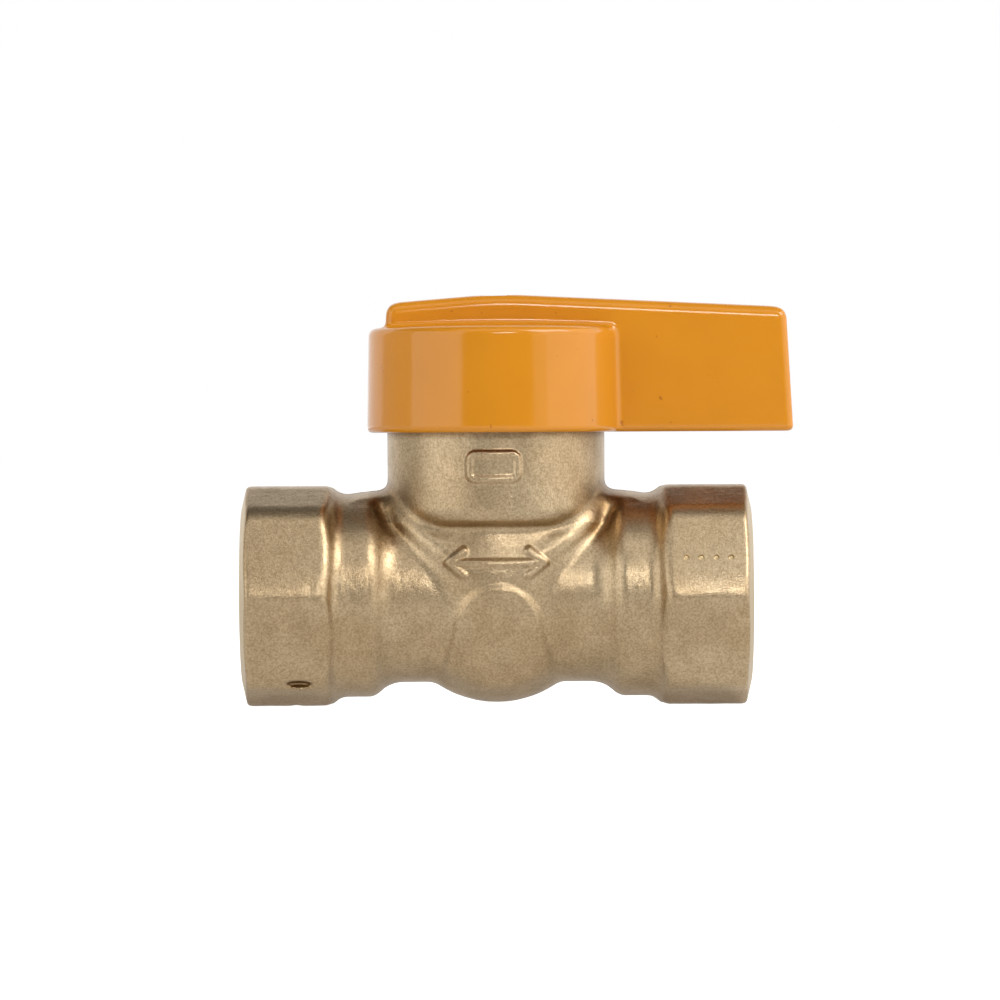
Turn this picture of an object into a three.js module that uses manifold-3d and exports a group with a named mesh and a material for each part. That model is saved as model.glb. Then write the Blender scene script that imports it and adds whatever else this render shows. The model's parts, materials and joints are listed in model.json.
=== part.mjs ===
// Gas ball valve: one-piece forged body, female pipe thread at both ends, cap-and-blade handle.
// Millimetres. The origin is the ball's centre, +X runs along the pipe towards the blade's tip,
// and +Z runs up the stem. The valve is open: the blade lies along the pipe.
import * as THREE from "three";
import { mergeVertices } from "three/addons/utils/BufferGeometryUtils.js";
import Module from "manifold-3d";

// ---- driving dimensions ----
const GAP = 0.3; // clearance kept between neighbouring pieces

const HALF_LENGTH = 33; // ball centre to each pipe-end face
const OCTAGON_CORNER = 15.77; // octagonal end, axis to corner
const OCTAGON_LENGTH = 11.55;
const FLASH_LAND = 14.18; // top and bottom corners are cut flat at this height
const FACE_RING = 11.5; // radius where the end chamfer starts
const END_CHAMFER = THREE.MathUtils.degToRad(13);
const COLLAR_R = 13.1;
const WAIST_R = 11.2;
const CHAMBER_R = 13.85; // outside of the ball chamber, along the pipe and downwards
const CHAMBER_DEPTH = 12.3; // and towards the front and back, where it bulges less
const NECK_R = 14.0;
const NECK_BOTTOM = 9.4;
const NECK_LAND = 25.6; // floor of the stop notch in the neck's rim
const NECK_TOP = 28.2;
const SHOULDER_R = 15.0; // web between neck and collars, about the stem axis
const SHOULDER_BREAK = 9.5; // below this height the web tapers in
const SHOULDER_TAPER = 0.32;
const SADDLE_HALF = 4.5; // flat-topped bridge from the neck to each collar
const SADDLE_REACH = 17; // the bridge's end, out along the pipe
const SHOULDER_TOP = 14; // above the collars, so that they limit the web
const THROAT_R = 11.2; // wall between the ball chamber and the neck

const THREAD_MINOR = 9.16; // at the face
const THREAD_DEPTH = 15.5;
const THREAD_TAPER = 1 / 32; // radius lost for each millimetre of depth
const MOUTH_R = 10.75;

const BALL_R = 9.0;
const BORE_R = 5.5;
const SEAT_R = 7.5;
const SEAT_BACK = 8.0;
const SEAT_FRONT = 6.0;
const POCKET_R = BALL_R + 0.35; // cavity the ball and seats drop into
const POCKET_HALF = SEAT_BACK + 0.2;
const POCKET_SIDE = SEAT_R + GAP;
const POCKET_TOP = 10.6;
const SEAT_GROOVE = { inner: 6.1, outer: 7.6, depth: 1.3 };
const SLOT = { width: 4.4, floor: 6.9 }; // drive slot on the ball, across the bore

const NECK_BORE = 12.0;
const BONNET = { r: 11.7, bottom: POCKET_TOP + GAP, top: 24.6, hole: 4.0, stuffing: 5.6 };
const COUNTERBORE = { r: 5.3, top: 12.9 };
const STUFFING_FLOOR = 18.5;
const STEM = { r: 3.8, flange: 4.9, flangeBottom: BALL_R + GAP, flangeTop: 10.9 };
const STEM_SQUARE = { half: 2.8, bottom: 26.9, top: 31.9 };
const TANG = { half: 2, reach: 4 }; // flat key that turns the ball by its slot
const STEM_RINGS = [14.2, 16.8]; // centre heights of the two stem seals
const RING_GROOVE = { floor: 2.6, width: 1.6 };
const BONNET_GROOVE = { r: 10.2, centre: 13.4, width: 1.9 };
const SPANNER_SLOT = { half: 1.4, depth: 2 }; // across the bonnet's top, to screw it in
const STEM_SEAL = { ring: 3.3, tube: 0.5 };
const BONNET_SEAL = { ring: 11.0, tube: 0.68 };
const SEAT_SEAL_TUBE = 0.5;
const PACKING_TOP = 21.2;
const GLAND = { thread: 5.3, bottom: 21.5, hexBottom: 24.9, hexTop: 27.2, hexCorner: 7.5 };

const CAP = { bottomR: 16.7, topR: 16.45, bottom: 21.1, rim: 34.6, crown: 35.1, edge: 0.6 };
const CAP_INNER = 14.6;
const CAP_CEILING = 32.6;
const BLADE = {
  left: -14.2,
  peak: 39.1,
  leftTop: 37.9,
  tipTop: 37.4,
  tip: 38.5,
  draft: 0.9,
  hubHalf: 5.9,
  tipHalf: 4.9,
};
const BLADE_WALL = 2.2;
const HUB = { r: 6.4, bottom: 27.6 };
const SCREW_SEAT = 34.0; // floor of the recess that the screw sits in
const RECESS_R = 4.7;
const SCREW = { shank: 2.35, head: 4.0, bottom: 23.4, headBottom: 36.4, headTop: 38.6 };
const CROSS = { reach: 2, half: 0.45, depth: 1.4 }; // driver recess in the screw's head
const PLAIN_WASHER = { outer: 4.3, bottom: SCREW_SEAT + GAP, top: 35.0 };
const LOCK_WASHER = { outer: 4.0, bottom: 35.3, top: 36.1, gap: 0.8 };
const STOP_LUG = { half: 10, centre: 135, innerR: 12.2, bottom: NECK_LAND + GAP };
const STOP_CLEARANCE = 1.3; // degrees left at each end of the handle's travel
const TRAVEL = 90;

const FINE = 36; // segments on the large round parts
const COARSE = 24; // segments on the small ones

// ---- materials ----
const finish = (color, roughness, metalness) =>
  new THREE.MeshStandardMaterial({ color, roughness, metalness });
const brass = finish(0xb79f7c, 0.42, 0.9);
const machinedBrass = finish(0xc9ac74, 0.25, 0.95);
const chrome = finish(0xc8ccd0, 0.12, 1.0);
const ptfe = finish(0xf1f0ea, 0.5, 0.0);
const nitrile = finish(0x1b1b1c, 0.8, 0.0);
const orangePaint = finish(0xd48a27, 0.25, 0.1);
const zincPlate = finish(0xb9bcc0, 0.3, 0.9);

// ---- solids ----
const wasm = await Module();
wasm.setup();

/** Turns a closed geometry into a solid, facing out whichever way it was wound. */
function solid(geometry) {
  const bare = geometry.index ? geometry.toNonIndexed() : geometry.clone();
  bare.deleteAttribute("normal");
  bare.deleteAttribute("uv");
  const merged = mergeVertices(bare, 1e-4);
  const position = merged.getAttribute("position");
  const corner = [0, 1, 2].map(() => new THREE.Vector3());
  const triangles = [];
  let volume = 0;
  for (let i = 0; i < merged.index.count; i += 3) {
    const ids = [0, 1, 2].map((k) => merged.index.getX(i + k));
    if (new Set(ids).size < 3) continue;
    ids.forEach((id, k) => corner[k].fromBufferAttribute(position, id));
    volume += corner[0].dot(corner[1].clone().cross(corner[2]));
    triangles.push(ids);
  }
  const outward = volume > 0 ? triangles : triangles.map(([a, b, c]) => [a, c, b]);
  return new wasm.Manifold(
    new wasm.Mesh({
      numProp: 3,
      vertProperties: new Float32Array(position.array),
      triVerts: new Uint32Array(outward.flat()),
    }),
  );
}

/** Wraps a solid as a named, placed mesh. */
function piece(name, body, material) {
  const data = body.getMesh();
  const geometry = new THREE.BufferGeometry();
  geometry.setAttribute("position", new THREE.BufferAttribute(data.vertProperties, 3));
  geometry.setIndex(new THREE.BufferAttribute(data.triVerts, 1));
  geometry.computeVertexNormals();
  const mesh = new THREE.Mesh(geometry, material);
  mesh.name = name;
  return mesh;
}

const points = (pairs) => pairs.map(([r, h]) => new THREE.Vector2(r, h));

/** Revolves [radius, height] pairs about the stem axis. */
const turnedZ = (pairs, segments = FINE) =>
  solid(new THREE.LatheGeometry(points(pairs), segments).rotateX(Math.PI / 2));

/** Revolves [radius, distance] pairs about the pipe axis. */
const turnedX = (pairs, segments = FINE) =>
  solid(new THREE.LatheGeometry(points(pairs), segments).rotateZ(-Math.PI / 2));

const post = (r, bottom, top, segments = FINE) =>
  turnedZ([[0, bottom], [r, bottom], [r, top], [0, top]], segments);

const barrel = (r, from, to, segments = FINE) =>
  turnedX([[0, from], [r, from], [r, to], [0, to]], segments);

const sphere = (r, segments = FINE) => solid(new THREE.SphereGeometry(r, segments, segments / 2));

/** A box given by its lowest and highest corners. */
function block(low, high) {
  const size = low.map((v, i) => high[i] - v);
  const middle = low.map((v, i) => (high[i] + v) / 2);
  return solid(new THREE.BoxGeometry(...size).translate(...middle));
}

const torusZ = (ring, tube, height) =>
  solid(new THREE.TorusGeometry(ring, tube, 6, COARSE).translate(0, 0, height));

const torusX = (ring, tube, along) =>
  solid(new THREE.TorusGeometry(ring, tube, 6, COARSE).rotateY(Math.PI / 2).translate(along, 0, 0));

const mirrored = (body) => body.mirror([1, 0, 0]);

/** A wedge about the stem axis, between two angles in degrees and two radii. */
function sector(innerR, outerR, fromDeg, toDeg, bottom, top) {
  const [from, to] = [fromDeg, toDeg].map(THREE.MathUtils.degToRad);
  const shape = new THREE.Shape();
  shape.absarc(0, 0, outerR, from, to, false);
  shape.absarc(0, 0, innerR, to, from, true);
  const geometry = new THREE.ExtrudeGeometry(shape, {
    depth: top - bottom,
    bevelEnabled: false,
    curveSegments: 24,
  });
  return solid(geometry.translate(0, 0, bottom));
}

/** A regular prism about the stem axis. */
const hexPost = (corner, bottom, top) => post(corner, bottom, top, 6);

// ---- forged body ----
function octagonEnd() {
  const prism = barrel(OCTAGON_CORNER, HALF_LENGTH - OCTAGON_LENGTH, HALF_LENGTH, 8);
  const reach = 20;
  const drop = (reach - FACE_RING) * Math.tan(END_CHAMFER);
  const chamfered = turnedX([
    [0, 0],
    [reach, 0],
    [reach, HALF_LENGTH - drop],
    [FACE_RING, HALF_LENGTH],
    [0, HALF_LENGTH],
  ]);
  const land = block([0, -reach, -FLASH_LAND], [HALF_LENGTH + 1, reach, FLASH_LAND]);
  return prism.intersect(chamfered).intersect(land);
}

/** Collar, slope and waist, from inside the chamber out to the octagon. */
const pipeArm = () =>
  turnedX([
    [0, 4],
    [WAIST_R, 4],
    [WAIST_R, 14.2],
    [COLLAR_R, 15.9],
    [COLLAR_R, 19.8],
    [14.2, 21.5],
    [0, 21.5],
  ]);

/** The ball chamber's outside, rounder from the side than from the end. */
function chamber() {
  const geometry = new THREE.SphereGeometry(CHAMBER_R, FINE, FINE / 2);
  return solid(geometry.scale(1, CHAMBER_DEPTH / CHAMBER_R, 1));
}

function shoulder() {
  const web = barrel(COLLAR_R, -SADDLE_REACH, SADDLE_REACH);
  const foot = SHOULDER_R - SHOULDER_BREAK * SHOULDER_TAPER;
  const limit = turnedZ([
    [0, 0],
    [foot, 0],
    [SHOULDER_R, SHOULDER_BREAK],
    [SHOULDER_R, SHOULDER_TOP],
    [0, SHOULDER_TOP],
  ]);
  const saddle = block(
    [-SADDLE_REACH, -SADDLE_HALF, SHOULDER_BREAK],
    [SADDLE_REACH, SADDLE_HALF, SHOULDER_TOP],
  );
  return web.intersect(limit.add(saddle)).add(post(THROAT_R, 6, NECK_BOTTOM + 1));
}

function neck() {
  const column = turnedZ([
    [0, NECK_BOTTOM],
    [NECK_R - 0.8, NECK_BOTTOM],
    [NECK_R, NECK_BOTTOM + 0.8],
    [NECK_R, NECK_TOP - 0.5],
    [NECK_R - 0.5, NECK_TOP],
    [0, NECK_TOP],
  ]);
  const margin = STOP_LUG.half + STOP_CLEARANCE;
  const from = STOP_LUG.centre - TRAVEL - margin;
  const to = STOP_LUG.centre + margin;
  return column.subtract(sector(8, 20, from, to, NECK_LAND, NECK_TOP + 1));
}

/** Threaded port, seal groove and gas passage on the +X side. */
function portCut() {
  const root = THREAD_MINOR - THREAD_DEPTH * THREAD_TAPER;
  const port = turnedX([
    [0, HALF_LENGTH - THREAD_DEPTH],
    [root, HALF_LENGTH - THREAD_DEPTH],
    [THREAD_MINOR, HALF_LENGTH - 1.3],
    [MOUTH_R, HALF_LENGTH],
    [MOUTH_R, HALF_LENGTH + 1],
    [0, HALF_LENGTH + 1],
  ]);
  const passage = barrel(BORE_R, 0, HALF_LENGTH - THREAD_DEPTH + 1, COARSE);
  const { inner, outer, depth } = SEAT_GROOVE;
  const groove = turnedX([
    [inner, POCKET_HALF - 1],
    [outer, POCKET_HALF - 1],
    [outer, POCKET_HALF + depth],
    [inner, POCKET_HALF + depth],
    [inner, POCKET_HALF - 1],
  ]);
  return port.add(passage).add(groove);
}

/** Cavity milled from the top, with flat faces for the seats, and the bore for the bonnet. */
function topCut() {
  const top = POCKET_TOP + 1;
  const ballSpace = sphere(POCKET_R).add(post(POCKET_R, 0, top));
  const seatDrop = block([-POCKET_HALF, -POCKET_SIDE, 0], [POCKET_HALF, POCKET_SIDE, top]);
  const seatSpace = barrel(POCKET_SIDE, -POCKET_HALF, POCKET_HALF).add(seatDrop);
  return ballSpace.add(seatSpace).add(post(NECK_BORE, POCKET_TOP, NECK_TOP + 1));
}

function valveBody() {
  const arm = octagonEnd().add(pipeArm());
  const outside = arm.add(mirrored(arm)).add(chamber()).add(shoulder()).add(neck());
  const port = portCut();
  return outside.subtract(port).subtract(mirrored(port)).subtract(topCut());
}

// ---- bonnet and stem ----
function bonnet() {
  const low = BONNET_GROOVE.centre - BONNET_GROOVE.width / 2;
  const high = BONNET_GROOVE.centre + BONNET_GROOVE.width / 2;
  const plug = turnedZ([
    [COUNTERBORE.r, BONNET.bottom],
    [BONNET.r, BONNET.bottom],
    [BONNET.r, low],
    [BONNET_GROOVE.r, low],
    [BONNET_GROOVE.r, high],
    [BONNET.r, high],
    [BONNET.r, BONNET.top],
    [BONNET.stuffing, BONNET.top],
    [BONNET.stuffing, STUFFING_FLOOR],
    [BONNET.hole, STUFFING_FLOOR],
    [BONNET.hole, COUNTERBORE.top],
    [COUNTERBORE.r, COUNTERBORE.top],
    [COUNTERBORE.r, BONNET.bottom],
  ]);
  const { half, depth } = SPANNER_SLOT;
  const spannerSlot = block(
    [-BONNET.r - 1, -half, BONNET.top - depth],
    [BONNET.r + 1, half, BONNET.top + 1],
  );
  return plug.subtract(spannerSlot);
}

function stem() {
  const profile = [
    [0, STEM.flangeBottom],
    [STEM.flange, STEM.flangeBottom],
    [STEM.flange, STEM.flangeTop],
    [STEM.r, STEM.flangeTop],
  ];
  for (const centre of STEM_RINGS) {
    profile.push([STEM.r, centre - RING_GROOVE.width / 2]);
    profile.push([RING_GROOVE.floor, centre - RING_GROOVE.width / 2]);
    profile.push([RING_GROOVE.floor, centre + RING_GROOVE.width / 2]);
    profile.push([STEM.r, centre + RING_GROOVE.width / 2]);
  }
  profile.push([STEM.r, STEM_SQUARE.bottom], [0, STEM_SQUARE.bottom]);
  const { half, bottom, top } = STEM_SQUARE;
  const square = block([-half, -half, bottom - 1], [half, half, top]);
  const roundedCorners = post(STEM.r, bottom - 1, top, COARSE);
  const tang = block(
    [-TANG.half, -TANG.reach, SLOT.floor + GAP],
    [TANG.half, TANG.reach, STEM.flangeBottom + 0.5],
  );
  const screwHole = post(SCREW.shank + GAP, SCREW.bottom - 1, top + 1, COARSE);
  return turnedZ(profile, COARSE)
    .add(square.intersect(roundedCorners))
    .add(tang)
    .subtract(screwHole);
}

/** A plain flat ring about the stem axis. */
const ringZ = (innerR, outerR, bottom, top) =>
  turnedZ(
    [[innerR, bottom], [outerR, bottom], [outerR, top], [innerR, top], [innerR, bottom]],
    COARSE,
  );

const thrustWasher = () =>
  ringZ(STEM.r + 0.25, STEM.flange, STEM.flangeTop + GAP, COUNTERBORE.top - GAP);

const stemRing = (height) => torusZ(STEM_SEAL.ring, STEM_SEAL.tube, height);

const bonnetRing = () => torusZ(BONNET_SEAL.ring, BONNET_SEAL.tube, BONNET_GROOVE.centre);

const stemPacking = () =>
  ringZ(STEM.r + 0.2, BONNET.stuffing - 0.25, STUFFING_FLOOR + GAP, PACKING_TOP);

function glandNut() {
  const screwed = ringZ(STEM.r + 0.2, GLAND.thread, GLAND.bottom, GLAND.hexBottom + 0.5);
  const bore = post(STEM.r + 0.2, GLAND.bottom, GLAND.hexTop + 1, COARSE);
  const head = hexPost(GLAND.hexCorner, GLAND.hexBottom, GLAND.hexTop).subtract(bore);
  return screwed.add(head);
}

// ---- ball and seats ----
function ball() {
  const { width, floor } = SLOT;
  const slot = block([-width / 2, -BALL_R, floor], [width / 2, BALL_R, BALL_R + 1]);
  return sphere(BALL_R, 32).subtract(barrel(BORE_R, -10, 10, COARSE)).subtract(slot);
}

/** Ring seat on the +X side, its lip following the ball at a small gap. */
function seat() {
  const ballFace = BALL_R + GAP;
  const lipR = BORE_R + 0.2;
  const profile = [[lipR, SEAT_BACK]];
  const steps = 4;
  const edgeR = Math.sqrt(ballFace ** 2 - SEAT_FRONT ** 2);
  for (let i = 0; i <= steps; i += 1) {
    const r = lipR + ((edgeR - lipR) * i) / steps;
    profile.push([r, Math.sqrt(ballFace ** 2 - r ** 2)]);
  }
  profile.push([SEAT_R, SEAT_FRONT], [SEAT_R, SEAT_BACK], [lipR, SEAT_BACK]);
  return turnedX(profile, COARSE);
}

const seatRing = () => {
  const { inner, outer, depth } = SEAT_GROOVE;
  return torusX((inner + outer) / 2, SEAT_SEAL_TUBE, POCKET_HALF + depth / 2);
};

// ---- handle ----
/** Outside of the cap, with its rounded rim and gently domed top. */
function capOutside() {
  const { bottomR, topR, bottom, rim, crown, edge } = CAP;
  const profile = [[0, bottom], [bottomR - 0.4, bottom], [bottomR, bottom + 0.4]];
  profile.push([topR, rim - edge], [topR - 0.3 * edge, rim - 0.25 * edge], [topR - edge, rim]);
  const domeSteps = 4;
  for (let i = 1; i <= domeSteps; i += 1) {
    const r = (topR - edge) * (1 - i / domeSteps);
    profile.push([r, crown - (crown - rim) * (r / (topR - edge)) ** 2]);
  }
  return turnedZ(profile);
}

/** The ridge and blade: a side outline, thickened about y = 0 and thinner towards its tip. */
function bladeOutside() {
  const { left, peak, leftTop, tipTop, tip, draft, hubHalf, tipHalf } = BLADE;
  const bevel = 0.9;
  const outline = new THREE.Shape();
  outline.moveTo(left, CAP.rim - 3);
  outline.lineTo(left, leftTop - 1.4);
  outline.quadraticCurveTo(left, leftTop, left + 1.4, leftTop);
  outline.quadraticCurveTo(-2, peak, 2, peak - 0.1);
  outline.lineTo(tip - draft - 1.3, tipTop);
  outline.quadraticCurveTo(tip - draft, tipTop, tip - draft, tipTop - 1.3);
  outline.lineTo(tip, CAP.bottom + 0.6);
  outline.lineTo(tip - 0.6, CAP.bottom);
  outline.lineTo(6, CAP.bottom);
  outline.lineTo(6, CAP.rim - 3);
  const geometry = new THREE.ExtrudeGeometry(outline, {
    depth: 2 * (hubHalf - bevel),
    bevelThickness: bevel,
    bevelSize: bevel,
    bevelOffset: -bevel,
    bevelSegments: 3,
    curveSegments: 5,
  });
  geometry.translate(0, 0, bevel - hubHalf).rotateX(Math.PI / 2);
  const position = geometry.getAttribute("position");
  for (let i = 0; i < position.count; i += 1) {
    const along = Math.max(0, position.getX(i) / tip);
    position.setY(i, position.getY(i) * (1 + along * (tipHalf / hubHalf - 1)));
  }
  return solid(geometry);
}

/** The cored pocket under the blade, outside the cap, with one cross rib left standing. */
function bladePocket() {
  const half = BLADE.tipHalf - BLADE_WALL + 0.3;
  const top = BLADE.tipTop - BLADE_WALL - 0.6;
  const start = CAP.bottomR + 0.6;
  const end = BLADE.tip - BLADE_WALL - 0.8;
  const rib = (start + end) / 2;
  const ribHalf = 0.8;
  const cell = (from, to) => block([from, -half, CAP.bottom - 1], [to, half, top]);
  return cell(start, rib - ribHalf).add(cell(rib + ribHalf, end));
}

function handle() {
  const { innerR, half, centre, bottom } = STOP_LUG;
  const inside = post(CAP_INNER, CAP.bottom - 1, CAP_CEILING);
  const hub = post(HUB.r, HUB.bottom, CAP_CEILING + 0.5, COARSE);
  const lug = sector(innerR, CAP_INNER + 0.5, centre - half, centre + half, bottom, CAP_CEILING + 0.5);
  const squareHalf = STEM_SQUARE.half + 0.15;
  const square = block(
    [-squareHalf, -squareHalf, HUB.bottom - 1],
    [squareHalf, squareHalf, STEM_SQUARE.top + GAP],
  );
  return capOutside()
    .add(bladeOutside())
    .subtract(inside)
    .subtract(bladePocket())
    .add(hub)
    .add(lug)
    .subtract(square)
    .subtract(post(SCREW.shank + GAP, STEM_SQUARE.top, SCREW_SEAT + 1, COARSE))
    .subtract(post(RECESS_R, SCREW_SEAT, BLADE.peak + 1, COARSE));
}

const plainWasher = () => {
  const { outer, bottom, top } = PLAIN_WASHER;
  return ringZ(SCREW.shank + 0.35, outer, bottom, top);
};

/** Split spring washer. */
function lockWasher() {
  const { outer, bottom, top, gap } = LOCK_WASHER;
  const split = block([0, -gap / 2, bottom - 1], [outer + 1, gap / 2, top + 1]);
  return ringZ(SCREW.shank + 0.35, outer, bottom, top).subtract(split);
}

function handleScrew() {
  const { shank, head, bottom, headBottom, headTop } = SCREW;
  const pan = turnedZ([
    [0, bottom],
    [shank - 0.5, bottom],
    [shank, bottom + 0.5],
    [shank, headBottom],
    [head, headBottom],
    [head, headTop - 0.9],
    [head - 0.5, headTop - 0.25],
    [head - 1.3, headTop],
    [0, headTop],
  ], COARSE);
  const { reach, half, depth } = CROSS;
  const across = block([-reach, -half, headTop - depth], [reach, half, headTop + 1]);
  const along = block([-half, -reach, headTop - depth], [half, reach, headTop + 1]);
  return pan.subtract(across).subtract(along);
}

// ---- the assembly ----
const valve = new THREE.Group();
valve.add(
  piece("valve_body", valveBody(), brass),
  piece("bonnet", bonnet(), machinedBrass),
  piece("bonnet_o_ring", bonnetRing(), nitrile),
  piece("ball", ball(), chrome),
  piece("seat_left", mirrored(seat()), ptfe),
  piece("seat_right", seat(), ptfe),
  piece("seat_o_ring_left", mirrored(seatRing()), nitrile),
  piece("seat_o_ring_right", seatRing(), nitrile),
  piece("stem", stem(), machinedBrass),
  piece("thrust_washer", thrustWasher(), ptfe),
  piece("stem_o_ring_lower", stemRing(STEM_RINGS[0]), nitrile),
  piece("stem_o_ring_upper", stemRing(STEM_RINGS[1]), nitrile),
  piece("stem_packing", stemPacking(), ptfe),
  piece("gland_nut", glandNut(), machinedBrass),
  piece("handle", handle(), orangePaint),
  piece("plain_washer", plainWasher(), zincPlate),
  piece("lock_washer", lockWasher(), zincPlate),
  piece("handle_screw", handleScrew(), zincPlate),
);

export default valve;
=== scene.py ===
"""Gas ball valve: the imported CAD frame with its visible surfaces, lights and camera."""

import json
import math

import bmesh
import bpy
import numpy as np
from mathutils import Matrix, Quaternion, Vector


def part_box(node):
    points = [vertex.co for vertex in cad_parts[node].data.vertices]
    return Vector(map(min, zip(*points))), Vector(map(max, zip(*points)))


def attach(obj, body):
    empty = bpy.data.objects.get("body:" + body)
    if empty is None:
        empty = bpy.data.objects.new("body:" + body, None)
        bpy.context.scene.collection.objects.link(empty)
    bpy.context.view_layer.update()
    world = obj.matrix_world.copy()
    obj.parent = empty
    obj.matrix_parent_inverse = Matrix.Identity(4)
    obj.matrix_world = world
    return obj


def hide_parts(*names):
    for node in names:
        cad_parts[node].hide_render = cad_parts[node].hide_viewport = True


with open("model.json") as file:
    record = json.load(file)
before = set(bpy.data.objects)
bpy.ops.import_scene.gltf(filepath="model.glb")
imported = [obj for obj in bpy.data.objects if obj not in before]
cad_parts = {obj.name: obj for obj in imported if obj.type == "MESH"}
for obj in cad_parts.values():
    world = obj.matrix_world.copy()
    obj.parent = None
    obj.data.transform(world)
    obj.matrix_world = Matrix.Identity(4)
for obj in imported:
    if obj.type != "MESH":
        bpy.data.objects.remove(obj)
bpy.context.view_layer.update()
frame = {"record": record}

MM = 0.001


# ---- sizes, in millimetres, read from the frame ----

def box_mm(node):
    """Lowest and highest corner of a CAD node, in millimetres."""
    low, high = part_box(node)
    return np.array(low) / MM, np.array(high) / MM


BODY_LOW, BODY_HIGH = box_mm("valve_body")
CAP_LOW, CAP_HIGH = box_mm("handle")
BALL_R = box_mm("ball")[1][1]

HALF = BODY_HIGH[0]  # ball centre to a pipe-end face
CORNER = BODY_HIGH[1]  # octagon, axis to corner
FLASH_LAND = -BODY_LOW[2]  # octagon corners are cut flat top and bottom
NECK_TOP = BODY_HIGH[2]
NECK_NOTCH = NECK_TOP - 2.6  # floor of the stop notch in the neck's rim
NOTCH_ANGLES = (33.7, 146.3)  # degrees about the stem
NECK_R = 14.0
NECK_BOTTOM = 9.35
COLLAR_R = 13.1
COLLAR_START = 15.75
COLLAR_LEAD = (0.80, 0.60)  # slope of the step from the waist up to the collar
COLLAR_END = 22.0  # inside the octagon
WAIST_END = 21.0
WAIST_R = 11.22
CHAMBER_R = 13.85
CHAMBER_DEPTH = 12.5  # the chamber bulges less to the front and back
THROAT_R = 11.4
THROAT_BOTTOM = 4.0
SHOULDER_R = 15.0
SHOULDER_BREAK = 9.5
SHOULDER_TAPER = 0.32
SADDLE_HALF = 4.5  # flat-topped bridge from the neck to each collar
SADDLE_REACH = 18.0
OCTAGON_START = 20.5
FACE_RING = 11.5
END_CHAMFER = math.radians(13)
OCTAGON_LEAD = (0.85, 0.52)  # slope of the step from the collar up to the octagon
OCTAGON_LEAD_R = 12.8
EDGE_EASE = 1.0  # how far the octagon's front and back edges are worn round
FACET_EASE = 1.5  # and the edges between its facets
LAND_EASE = 0.1414  # and its top and bottom ones, before they are cut flat
CORNER_LIFT = 0.45  # the front and back edges lie a little above the pipe's axis
CORNER_LIFT_REACH = 3.0
BROW = math.radians(13)  # lean of the narrow band just above those edges
BROW_OUT = (CORNER - 0.455) * math.cos(BROW)
MACHINING = 0.5  # stock left on the faces that are machined
FACING_R = 18.0  # the cutters that take it off reach past the corners
TRIM_R = 20.0
FILLET = {"waist": 1.8, "octagon": 1.15, "bridge": 2.4, "chamber": 0.5, "shoulder": 1.3,
          "throat": 1.5, "neck": 1.4}

DIMPLE = (0.8, -12.2, -7.6)  # small dents in the forging, by their centres
DIMPLE_R = 0.95
NICK = (-26.0, -14.9)
NICK_R = 0.75
GOUGE = (-25.4, -10.35, -11.1)
GOUGE_HALF = (1.5, 1.25, 0.45)
ARROW_Z = 4.4  # flow arrow, about the stem's axis
ARROW_REACH = 6.0
ARROW_HEAD = 2.0
ARROW_HALF_WIDTH = 0.46
ARROW_HEIGHT = 0.38
PAD_CENTRE = (-0.3, 16.7)
PAD_HALF = (3.6, 2.1)
PAD_ROUNDING = 1.3
PAD_RIM = 0.28
PAD_FACE = 0.12
DOT_FIRST = 24.3
DOT_PITCH = 1.9
DOT_DROP = 0.6  # below the middle of the octagon's upper facet
BOSS_TOP = 1.4  # round swelling over the ball, front and back
BOSS_R = 5.6
BOSS_HEIGHT = 0.42
FLASH_HEIGHT = 0.10
FLASH_HALF = 0.34
SHADE_PROBES = ((0.5, 0.25), (1.1, 0.35), (2.2, 0.4))  # for the painted shade in corners: how far out to look, and the weight

BORE_R = 5.5
THREAD_PITCH = 1.814
THREAD_MINOR = 9.16  # crest radius at the pipe end's face
THREAD_HEIGHT = 1.38
THREAD_DEPTH = 15.5
THREAD_TAPER = 1 / 32
THREAD_FADE = 2.2
MOUTH_R = 10.75
MOUTH_SLOPE = 1.15
SEAT_BACK = 8.0
SEAT_GROOVE = (6.1, 7.6)
SEAT_SPACE_R = 7.8
POCKET_R = BALL_R + 0.35
POCKET_TOP = 10.6
NECK_BORE = 12.0

CAP_BOTTOM = CAP_LOW[2]
CAP_R = -CAP_LOW[1]
CAP_TOP_R = CAP_R - 0.25
CAP_RIM = CAP_BOTTOM + 13.5
CAP_CROWN = CAP_RIM + 0.5
CAP_INNER = 14.6
CAP_CEILING = CAP_BOTTOM + 11.5
BLADE_TIP = CAP_HIGH[0]
BLADE_PEAK = CAP_HIGH[2] + 0.1  # the screw's recess takes off the very top
BLADE_LEFT = -14.2
BLADE_RISE = math.radians(4.6)  # its top climbs to the peak and falls towards the tip
BLADE_FALL = math.radians(2.75)
BLADE_DRAFT = 0.9 / 16.3
BLADE_HUB_HALF = 5.9
BLADE_TIP_HALF = 4.9
BLADE_WALL = 2.2
BLADE_TIP_WALL = 3.2
BLADE_ROOF = 4.6
RIB_HALF = 0.8
LUG_ANGLE = 135  # middle of the stop lug, in degrees about the stem
LUG_HALF_ANGLE = 10
LUG_MM_PER_DEGREE = 0.23
LUG_INNER = 12.2
HANDLE_SQUARE_HALF = 2.95
HUB_R = 6.4
HUB_BOTTOM = CAP_BOTTOM + 6.5
SCREW_SEAT = CAP_BOTTOM + 12.9
RECESS_R = 4.7

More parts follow.
